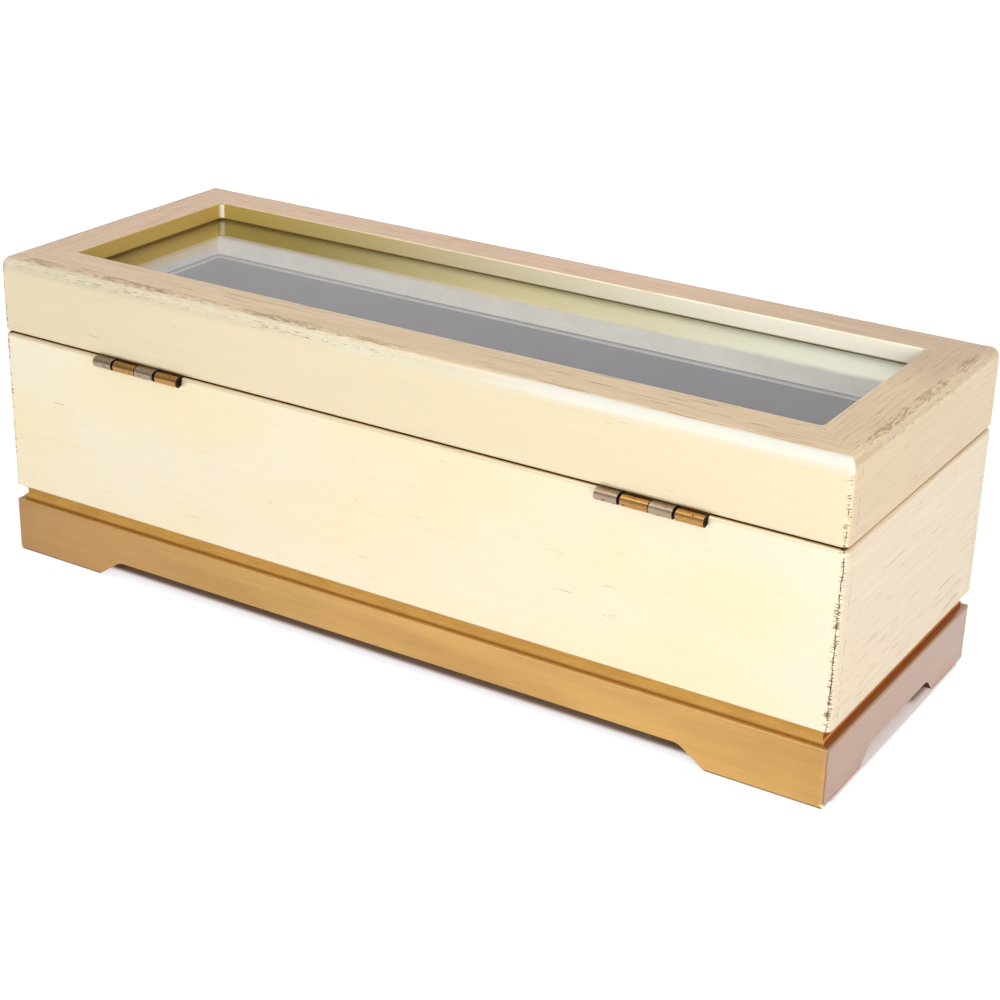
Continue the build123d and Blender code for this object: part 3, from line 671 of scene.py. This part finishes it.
def glass():
    """Clear float glass with a few dust specks; light passes through it to the inside."""
    t = Tree("glass")
    pane = t.add("BsdfPrincipled", {
        "Base Color": WHITE, "Roughness": 0.0, "IOR": 1.5, "Transmission Weight": 1.0,
    }).outputs[0]
    clear = t.add("BsdfTransparent", {"Color": GLASS_TINT}).outputs[0]
    shadow = t.add("LightPath").outputs["Is Shadow Ray"]
    pane = t.add("MixShader", {0: shadow, 1: pane, 2: clear}).outputs[0]
    inputs = {"Vector": t.position(), "Scale": DUST_CELLS, "Randomness": 1.0}
    cells = t.add("TexVoronoi", inputs).outputs
    near = t.step(cells["Distance"], *DUST_SIZE)
    lot = t.add("SeparateColor", {0: cells["Color"]}).outputs[0]
    chosen = t.math("GREATER_THAN", lot, DUST_LIMIT)
    dust = t.add("BsdfDiffuse", {"Color": DUST}).outputs[0]
    speck = t.math("MULTIPLY", near, chosen)
    return t.finish(t.add("MixShader", {0: speck, 1: pane, 2: dust}).outputs[0])


def tape():
    # The tape's dark line also stands in for the shade where the glass meets the rail.
    t = Tree("glazing_tape")
    fibre = t.grain((0.5, 0.5, 0.5), detail=2.0)
    colour = t.mix(fibre, TAPE_DARK, TAPE_AND_SHADE_BROWN)
    return t.surface({"Base Color": colour, "Roughness": 0.85, "Normal": t.bump(fibre, 0.05)})


def aged_metal(name, bright, dark, share, rough):
    """Metal with a brown patina, its end faces in painted shade; share is how much of it the patina
    takes.
    """
    t = Tree(name)
    blotches = t.grain((2.2, 1.2, 1.2), (3.0, 1.0, 8.0), detail=4.0, roughness=0.65)
    scratches = t.grain((5.0, 0.22, 0.22), (1.0, 6.0, 2.0), detail=2.0)
    patina = t.step(blotches, *(edge - share * PATINA_GAIN for edge in PATINA_EDGE))
    colour = t.mix(patina, bright, dark)
    colour = t.tint(colour, t.step(scratches, *NOISE_SPAN, 0.9, 1.08))
    # The end faces are painted dark: painted shade in the gaps between knuckles.
    end = t.step(t.math("ABSOLUTE", t.facing("X")), 0.7, 0.9)
    colour = t.mix(end, colour, KNUCKLE_END)
    relief = t.math("ADD", t.math("MULTIPLY", blotches, 0.6), t.math("MULTIPLY", scratches, 0.3))
    dulled = t.most(patina, end)
    return t.surface({
        "Base Color": colour,
        "Metallic": t.step(dulled, 0.0, 1.0, 1.0, PATINA_METALLIC),
        "Roughness": t.step(dulled, 0.0, 1.0, rough, rough + PATINA_ROUGHENS),
        "Normal": t.bump(relief, 0.02),
    })


# ---------------------------------------------------------------- stage

FLOOR_GLOW = 0.66                   # near the box, rising to 1 between the next two distances
FLOOR_NEAR, FLOOR_FAR = 230.0, 700.0
FLOOR_HALF = 30.0                   # metres
UNDER_SIDE = (-7.8, -4.6)           # past the long sides' faces: painted shadow under the box, dark to white
UNDER_END = (-24.0, 0.0)            # past the end faces, where the painted shadow stays up to the edge
END_EDGE = (-0.5, 1.5)
END_SHARE = 0.56
FOOT_SHADE = (-15.0, -20.0)         # Y towards the front end feet: a painted shadow on the floor by them
FOOT_SHADE_EDGE = (-0.4, -3.0)
AMBIENT, MIRRORED = 0.304, 0.8      # of the studio, as a soft fill and as gloss and glass show it
DIM_SIDE = (0.989, 0.148, 0.0)      # where the studio is dim to a reflection
DIM_EDGE = (0.55, 0.74)
DIM_STRENGTH = 0.35

LAMP_AIM = Vector((0.0, 0.0, 0.06))
LAMPS = {                           # direction, distance, width, height, watts, mirrored
    "key": ((-0.58, 0.76, 0.32), 1.05, 1.0, 0.8, 7.35, False),
    "end_fill": ((-0.95, 0.22, 0.26), 1.3, 0.9, 0.8, 0.6, True),
    "top_strip": ((0.28, 0.40, 0.87), 0.9, 0.5, 0.25, 0.9, True),
    "back_fill": ((-0.1, -0.9, 0.45), 1.8, 1.0, 0.8, 6.5, False),
    "inner_fill": ((-0.35, 0.80, 0.45), 1.0, 0.3, 0.3, 7.2, True),
    "wall_fill": ((-0.35, 0.90, 0.20), 1.0, 0.3, 0.3, 2.3, False),
}
LIT_ALONE = {"inner_fill": "lid_liner", "wall_fill": "lid_front"}     # whose light is kept to them


def seen_directly(t):
    """1 for what the camera sees, straight, mirrored or through glass; 0 for a surface's light."""
    path = t.add("LightPath").outputs
    return t.most(path["Is Camera Ray"], path["Is Glossy Ray"], path["Is Transmission Ray"])


def floor_material():
    """White floor that still shows the object's shadow, with a painted shadow underneath it."""
    t = Tree("floor")
    x, y, _ = t.axes()
    past_end = t.math("SUBTRACT", t.math("ABSOLUTE", x), plinth_x)
    past_side = t.math("SUBTRACT", t.math("ABSOLUTE", y), plinth_y)
    by_foot = t.product(t.step(y, *FOOT_SHADE), t.step(past_end, *FOOT_SHADE_EDGE))
    light = t.most(
        t.step(past_side, *UNDER_SIDE),
        t.product(t.step(past_end, *UNDER_END, 0.0, END_SHARE), t.math("SUBTRACT", 1.0, by_foot)),
        t.step(past_end, *END_EDGE),
    )
    colour = t.mix(light, FLOOR_SHADE, FLOOR_WHITE)
    tinge = t.mix(t.step(light, END_SHARE, 1.0), FLOOR_LILAC, WHITE)
    diffuse = t.add("BsdfDiffuse", {"Color": colour}).outputs[0]
    away = t.add("VectorMath", {0: t.position()}, operation="LENGTH").outputs["Value"]
    glow = t.product(light, t.step(away, FLOOR_NEAR, FLOOR_FAR, FLOOR_GLOW, 1.0))
    strength = t.math("MULTIPLY", seen_directly(t), glow)
    glow = t.add("Emission", {"Color": tinge, "Strength": strength}).outputs[0]
    return t.finish(t.add("AddShader", {0: diffuse, 1: glow}).outputs[0])


def make_floor():
    mesh = bpy.data.meshes.new("floor")
    h = FLOOR_HALF
    mesh.from_pydata([(-h, -h, 0), (h, -h, 0), (h, h, 0), (-h, h, 0)], [], [(0, 1, 2, 3)])
    floor = bpy.data.objects.new("floor", mesh)
    bpy.context.scene.collection.objects.link(floor)
    mesh.materials.append(floor_material())


def make_world():
    """White to the camera, a little less in gloss and through glass, and elsewhere a soft fill.

    Gloss finds it dimmer towards DIM_SIDE, where the long faces' sheen falls off.
    """
    world = bpy.data.worlds.new("studio")
    bpy.context.scene.world = world
    t = Tree(world)
    direction = t.add("TexCoord").outputs["Generated"]
    inputs = {0: direction, 1: DIM_SIDE}
    towards = t.add("VectorMath", inputs, operation="DOT_PRODUCT").outputs["Value"]
    glossy = t.add("LightPath").outputs["Is Glossy Ray"]
    dimmed = t.product(glossy, t.step(towards, *DIM_EDGE, 0.0, 1.0 - DIM_STRENGTH))
    bright = t.math("SUBTRACT", 1.0, dimmed)
    strength = t.product(t.step(seen_directly(t), 0.0, 1.0, AMBIENT, MIRRORED), bright)
    strength = t.most(strength, t.add("LightPath").outputs["Is Camera Ray"])
    t.finish(t.add("Background", {"Color": WHITE, "Strength": strength}).outputs[0], "OutputWorld")


def softbox(name, direction, distance, width, height, power, mirrored):
    """An area light that faces the box. Its own image shows in gloss and glass, or doesn't."""
    data = bpy.data.lights.new(name, "AREA")
    data.shape = "RECTANGLE"
    data.size, data.size_y, data.energy = width, height, power
    lamp = bpy.data.objects.new(name, data)
    bpy.context.scene.collection.objects.link(lamp)
    lamp.location = LAMP_AIM + Vector(direction).normalized() * distance
    lamp.rotation_euler = (lamp.location - LAMP_AIM).to_track_quat("Z", "Y").to_euler()
    lamp.visible_glossy = lamp.visible_transmission = mirrored
    return lamp


def light_only(lamp, names):
    """Keeps a lamp's light to the named nodes."""
    lit = bpy.data.collections.new(lamp.name)
    for name in names:
        lit.objects.link(nodes[name])
    lamp.light_linking.receiver_collection = lit


def make_lights():
    for name, settings in LAMPS.items():
        lamp = softbox(name, *settings)
        if name in LIT_ALONE:
            light_only(lamp, picked(LIT_ALONE[name]))


def make_camera():
    data = bpy.data.cameras.new("camera")
    data.lens, data.sensor_width = LENS, SENSOR
    camera = bpy.data.objects.new("camera", data)
    bpy.context.scene.collection.objects.link(camera)
    azimuth, elevation = radians(VIEW_AZIMUTH), radians(VIEW_ELEVATION)
    level = Vector((sin(azimuth), -cos(azimuth), 0.0))
    back = level * cos(elevation) + Vector((0.0, 0.0, sin(elevation)))
    turn = back.to_track_quat("Z", "Y").to_matrix() @ Matrix.Rotation(radians(VIEW_ROLL), 3, "Z")
    camera.matrix_world = Matrix.Translation(VIEW_AIM + back * VIEW_DISTANCE) @ turn.to_4x4()
    bpy.context.scene.camera = camera


# ---------------------------------------------------------------- cushions

# Lengths are in metres here.

PAD_SCALE = 10.0                    # the cloth is worked this much larger: its solver is steady
PAD_START = (0.94, 0.94, 0.62)      # the block before it swells, as shares of the CAD block
PAD_VOXEL = 0.018                   # at that scale, as is PAD_CAP
PAD_PRESSURE = 6.0
PAD_FRAMES = 20
PAD_CAP = 0.03
PAD_CLEAR = 0.0002                  # from the CAD block's faces
WELT_RADIUS = 0.00055
WELT_SUNK = 0.5                     # of its radius, into the pad
WELT_DROP = 0.0034                  # of the welt below the pad's crown
WELT_POINTS, WELT_SIDES = 112, 8
PAD_RUMPLE, RUMPLE_SIZE = 0.00025, 0.014
RUMPLE_RISE = 0.004                 # above the pad's foot, where the rumpling is full
RUMPLE_SEED = 7                     # not 0, which lets the clock choose


def applied(obj):
    """The object's mesh with its modifiers in it."""
    graph = bpy.context.evaluated_depsgraph_get()
    return bpy.data.meshes.new_from_object(obj.evaluated_get(graph), depsgraph=graph)


def swell(pad):
    """Cloth with air in it: each point moves out by up to PAD_CAP."""
    start = [vertex.co.copy() for vertex in pad.data.vertices]
    cloth = pad.modifiers.new("cloth", "CLOTH")
    cloth.settings.use_pressure = True
    cloth.settings.uniform_pressure_force = PAD_PRESSURE
    cloth.settings.effector_weights.gravity = 0.0
    for step in range(1, PAD_FRAMES + 1):
        bpy.context.scene.frame_set(step)
    swollen = applied(pad)
    pad.modifiers.clear()
    bpy.context.scene.frame_set(1)
    for vertex, before in zip(swollen.vertices, start):
        moved = vertex.co - before
        vertex.co = before + moved * min(1.0, PAD_CAP / max(moved.length, 1e-9))
    return swollen


def pad_mesh(node):
    """A crowned pad round the origin at its real size, swollen from the CAD block."""
    lo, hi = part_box(node)
    middle, size = (lo + hi) / 2, hi - lo
    mesh = nodes[node].data.copy()
    mesh.transform(Matrix.Translation(-middle))
    mesh.transform(Matrix.Diagonal((*PAD_START, 1.0)) * PAD_SCALE)
    pad = bpy.data.objects.new("pad_form", mesh)
    bpy.context.scene.collection.objects.link(pad)
    remesh = pad.modifiers.new("remesh", "REMESH")
    remesh.mode, remesh.voxel_size = "VOXEL", PAD_VOXEL
    pad.data = applied(pad)
    pad.modifiers.clear()
    pad.data = swell(pad)
    pad.modifiers.new("smooth", "SUBSURF").levels = 1
    mesh = applied(pad)
    bpy.data.objects.remove(pad)
    for axis in range(3):
        low = min(vertex.co[axis] for vertex in mesh.vertices)
        high = max(vertex.co[axis] for vertex in mesh.vertices)
        stretch = (size[axis] - 2 * PAD_CLEAR) / (high - low)
        for vertex in mesh.vertices:
            vertex.co[axis] = (vertex.co[axis] - (low + high) / 2) * stretch
    return mesh


def welt(mesh):
    """Points and faces of the cord sewn round a pad below its crown."""
    points = [vertex.co for vertex in mesh.vertices]
    tree = BVHTree.FromPolygons(points, [tuple(face.vertices) for face in mesh.polygons])
    level = max(point.z for point in points) - WELT_DROP
    ring = []
    for i in range(WELT_POINTS):
        angle = 2 * pi * i / WELT_POINTS
        outward = Vector((cos(angle), sin(angle), 0.0))
        ring.append(tree.ray_cast(Vector((0.0, 0.0, level)), outward)[0])
    around = []
    for i, point in enumerate(ring):
        run = ring[(i + 1) % WELT_POINTS] - ring[i - 1]
        outward = run.cross(Vector((0.0, 0.0, 1.0))).normalized()
        centre = point - outward * WELT_RADIUS * WELT_SUNK
        for j in range(WELT_SIDES):
            turn = 2 * pi * j / WELT_SIDES
            spoke = outward * cos(turn) + Vector((0.0, 0.0, sin(turn)))
            around.append(centre + spoke * WELT_RADIUS)
    faces = []
    for i in range(WELT_POINTS):
        here, there = i * WELT_SIDES, (i + 1) % WELT_POINTS * WELT_SIDES
        for j in range(WELT_SIDES):
            k = (j + 1) % WELT_SIDES
            faces.append((here + j, there + j, there + k, here + k))
    return around, faces


def velvet(name, colour, nap):
    """Cut pile: soft brushed patches, and a pale sheen at glancing angles."""
    t = Tree(name)
    brushed = t.grain((13.0, 9.0, 9.0), (5.0, 2.0, 4.0), detail=3.0, distortion=1.2)
    pile = t.grain((0.3, 0.3, 0.3), (7.0, 1.0, 3.0), detail=2.0, roughness=0.7)
    colour = t.tint(colour, t.tone(brushed, nap), t.step(pile, 0.2, 0.8, 0.8, 1.2))
    return t.surface({
        "Base Color": colour,
        "Roughness": 0.9,
        "Specular IOR Level": 0.15,
        "Sheen Weight": 0.8,
        "Sheen Roughness": 0.35,
        "Sheen Tint": shade(214, 206, 220),
        "Normal": t.bump(t.math("ADD", pile, t.math("MULTIPLY", brushed, 3.0)), 0.12),
    })


def make_cushions():
    """Each pad is the same sewn form, turned, rumpled a little and set in its own cell."""
    noise.seed_set(RUMPLE_SEED)
    pile, cord = velvet("cushion_velvet", VELVET, 0.16), velvet("cushion_welt", VELVET_WELT, 0.08)
    cushions = sorted(picked("cushion"))
    form = pad_mesh(cushions[0])
    cord_points, cord_faces = welt(form)
    points = [vertex.co.copy() for vertex in form.vertices] + cord_points
    faces = [tuple(face.vertices) for face in form.polygons]
    count = len(form.vertices)
    faces += [tuple(count + i for i in face) for face in cord_faces]
    for number, node in enumerate(cushions):
        lo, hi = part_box(node)
        middle = (lo + hi) / 2
        turn = Matrix.Rotation(pi * (number % 2), 3, "Z")
        placed = []
        for point in points:
            place = turn @ point
            shift = noise.noise_vector((place + middle) / RUMPLE_SIZE) * PAD_RUMPLE
            height = hi.z - middle.z + place.z
            placed.append(place + middle + shift * min(1.0, height / RUMPLE_RISE))
        mesh = bpy.data.meshes.new(node.replace("cushion", "pad"))
        mesh.from_pydata(placed, [], faces)
        mesh.materials.append(pile)
        mesh.materials.append(cord)
        for face in mesh.polygons:
            face.use_smooth = True
            face.material_index = int(face.vertices[0] >= count)
        pad = bpy.data.objects.new(mesh.name, mesh)
        bpy.context.scene.collection.objects.link(pad)
        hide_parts(node)
        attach(pad, "case")


# ---------------------------------------------------------------- CAD nodes' materials

ARCH_START, ARCH_LIFT = 0.014, 0.0012        # metres in from the plinth's end, and off the floor
FLANK_FACING, SOFFIT_FACING = 0.25, -0.3


def dress(names, material, other=None, takes_other=None):
    """Gives each face of the named nodes the material, or the other one where takes_other(face)."""
    for name in names:
        mesh = nodes[name].data
        mesh.materials.clear()
        mesh.materials.append(material)
        if other:
            mesh.materials.append(other)
        for face in mesh.polygons:
            face.material_index = int(bool(other and takes_other(face)))


def in_arch(axis):
    """Tells whether a face of a plinth rail is in its arch: the flanks and the soffit."""
    run = "XYZ".index(axis)
    reach = (plinth_x, plinth_y)[run] / MM

    def test(face):
        inside = abs(face.center[run]) < reach - ARCH_START and face.center.z > ARCH_LIFT
        return inside and (abs(face.normal[run]) > FLANK_FACING or face.normal.z < SOFFIT_FACING)
    return test


def picked(*words):
    """The nodes whose names hold one of the words."""
    return [name for name in nodes if any(word in name for word in words)]


def dress_frame():
    sides = {"X": ("front", "back"), "Y": ("left", "right")}
    arch = arch_shade_paint()
    for axis, names in sides.items():
        leafed = leaf_paint(f"champagne_leaf_{axis.lower()}", axis)
        ochre = ochre_paint(f"ochre_gold_{axis.lower()}", axis)
        for side in names:
            dress((f"case_{side}", f"lid_{side}"), leafed)
            dress((f"plinth_{side}",), ochre, arch, in_arch(axis))
    dress(("base_board",), neck_paint())
    dress(("plinth_glue_blocks", "bearer_front", "bearer_back"), bare_wood())
    dress(("lid_glass",), glass())
    dress(("lid_glazing_tape",), tape())
    dress(picked("case_liner"), suede("case_lining", SUEDE, 0.08, pale_hem_highlight))
    for axis, name in (("X", "long"), ("Y", "end")):
        band = leafed_band(BAND_FOOT[name], name == "end")
        lining = suede(f"lid_lining_{name}", LID_SUEDE, 0.06, band)
        dress([f"lid_liner_{side}" for side in sides[axis]], lining)
    dress(picked("divider", "insert_floor"), suede("insert_suede", SUEDE, 0.08))
    lid_metal = aged_metal("hinge_brass", BRASS_AGED, BRASS_DARK, 0.3, 0.3)
    case_metal = aged_metal("hinge_copper", COPPER_AGED, BRASS_DARK, 0.25, 0.26)
    pin_metal = aged_metal("hinge_steel_pin", STEEL_DARK, BRASS_DARK, 0.5, 0.35)
    dress(picked("lid_leaf", "hinge_lid_screws"), lid_metal)
    dress(picked("case_leaf", "hinge_case_screws"), case_metal)
    dress(picked("_pin"), pin_metal)


bpy.context.scene.view_settings.view_transform = "Standard"
make_camera()
make_world()
make_floor()
make_lights()
dress_frame()
make_cushions()
